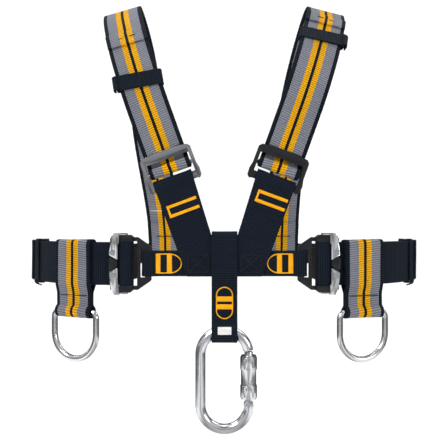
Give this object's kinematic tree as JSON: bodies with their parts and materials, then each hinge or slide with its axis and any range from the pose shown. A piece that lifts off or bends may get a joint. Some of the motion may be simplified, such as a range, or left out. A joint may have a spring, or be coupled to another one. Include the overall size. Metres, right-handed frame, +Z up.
{
  "type": "chest climbing harness",
  "caption": "Chest climbing harness in striped and black webbing with adjuster buckles, side rings and an oval locking connector.",
  "frame": {"origin": "midway between the two shoulder strap crests, where the shoulders carry the harness", "axes": "+Z up, -Y to the front of the chest, +X to the right as seen from the front"},
  "size_m": [0.4462, 0.2376, 0.4847],
  "materials": {
    "striped_webbing": "woven webbing, grey with two yellow stripes and black edges",
    "black_webbing": "woven webbing",
    "elastic": "ribbed elastic",
    "label": "plain woven label",
    "stitching": "thick sewing thread",
    "polished_steel": "polished",
    "black_steel": "satin black"
  },
  "bodies": {
    "harness": {"left_shoulder_strap": "striped_webbing", "right_shoulder_strap": "striped_webbing", "left_strap_keeper": "elastic", "right_strap_keeper": "elastic", "left_frame_buckle": "polished_steel", "right_frame_buckle": "black_steel", "left_riser": "black_webbing", "right_riser": "black_webbing", "chest_belt": "black_webbing", "centre_loop": "black_webbing", "loop_label": "label", "left_fork": "black_steel", "right_fork": "black_steel", "left_buckle_body": "black_steel", "right_buckle_body": "black_steel", "left_adjuster_bar": "black_steel", "right_adjuster_bar": "black_steel", "left_lever_pins": "polished_steel", "right_lever_pins": "polished_steel", "left_hub_cap": "black_steel", "right_hub_cap": "black_steel", "left_upper_lever_spring": "polished_steel", "left_lower_lever_spring": "polished_steel", "right_upper_lever_spring": "polished_steel", "right_lower_lever_spring": "polished_steel", "left_side_belt": "black_webbing", "right_side_belt": "black_webbing", "left_belt_keeper": "elastic", "right_belt_keeper": "elastic", "back_belt": "black_webbing", "left_ring_loop": "striped_webbing", "right_ring_loop": "striped_webbing"},
    "left_slide_bar": {"left_slide_bar": "polished_steel"},
    "right_slide_bar": {"right_slide_bar": "black_steel"},
    "left_upper_lever": {"left_upper_lever": "polished_steel"},
    "left_lower_lever": {"left_lower_lever": "polished_steel"},
    "right_upper_lever": {"right_upper_lever": "polished_steel"},
    "right_lower_lever": {"right_lower_lever": "polished_steel"},
    "left_ring": {"left_side_ring": "polished_steel"},
    "right_ring": {"right_side_ring": "polished_steel"},
    "connector": {"connector_body": "polished_steel", "gate_pivot": "polished_steel"},
    "gate": {"connector_gate": "polished_steel", "gate_spring": "polished_steel"},
    "sleeve": {"locking_sleeve": "polished_steel"}
  },
  "joints": [
    {"name": "left_bar_slide", "type": "slide", "parent": "harness", "child": "left_slide_bar", "axis": [-0.347, 0, 0.9379], "range_m": [0, 0.0025]},
    {"name": "left_upper_release", "type": "hinge", "parent": "harness", "child": "left_upper_lever", "pos_m": [-0.116, -0.15, -0.2868], "axis": [0, -1, 0], "range_deg": [0, 10], "stiffness_Nm_per_rad": 0.4, "springref_deg": -20.05},
    {"name": "left_lower_release", "type": "hinge", "parent": "harness", "child": "left_lower_lever", "pos_m": [-0.116, -0.15, -0.3102], "axis": [0, 1, 0], "range_deg": [0, 10], "stiffness_Nm_per_rad": 0.4, "springref_deg": -20.05},
    {"name": "left_ring_swing", "type": "hinge", "parent": "harness", "child": "left_ring", "pos_m": [-0.15856, -0.13226, -0.3495], "axis": [-0.9033, 0.4289, 0], "range_deg": [-15, 85]},
    {"name": "right_bar_slide", "type": "slide", "parent": "harness", "child": "right_slide_bar", "axis": [0.347, 0, 0.9379], "range_m": [0, 0.0025]},
    {"name": "right_upper_release", "type": "hinge", "parent": "harness", "child": "right_upper_lever", "pos_m": [0.116, -0.15, -0.2868], "axis": [0, 1, 0], "range_deg": [0, 10], "stiffness_Nm_per_rad": 0.4, "springref_deg": -20.05},
    {"name": "right_lower_release", "type": "hinge", "parent": "harness", "child": "right_lower_lever", "pos_m": [0.116, -0.15, -0.3102], "axis": [0, -1, 0], "range_deg": [0, 10], "stiffness_Nm_per_rad": 0.4, "springref_deg": -20.05},
    {"name": "right_ring_swing", "type": "hinge", "parent": "harness", "child": "right_ring", "pos_m": [0.14573, -0.13741, -0.3495], "axis": [-0.9489, -0.3156, 0], "range_deg": [-15, 85]},
    {"name": "connector_swing", "type": "hinge", "parent": "harness", "child": "connector", "pos_m": [0, -0.1432, -0.3707], "axis": [-1, 0, 0], "range_deg": [-20, 75]},
    {"name": "gate_open", "type": "hinge", "parent": "connector", "child": "gate", "pos_m": [0.0252, -0.1432, -0.4463], "axis": [0, -1, 0], "range_deg": [0, 22], "stiffness_Nm_per_rad": 0.15, "springref_deg": -22.92},
    {"name": "sleeve_turn", "type": "hinge", "parent": "gate", "child": "sleeve", "pos_m": [0.0252, -0.1432, -0.4207], "axis": [0, 0, 1], "range_deg": [0, 90], "stiffness_Nm_per_rad": 0.02, "springref_deg": -28.65}
  ]
}
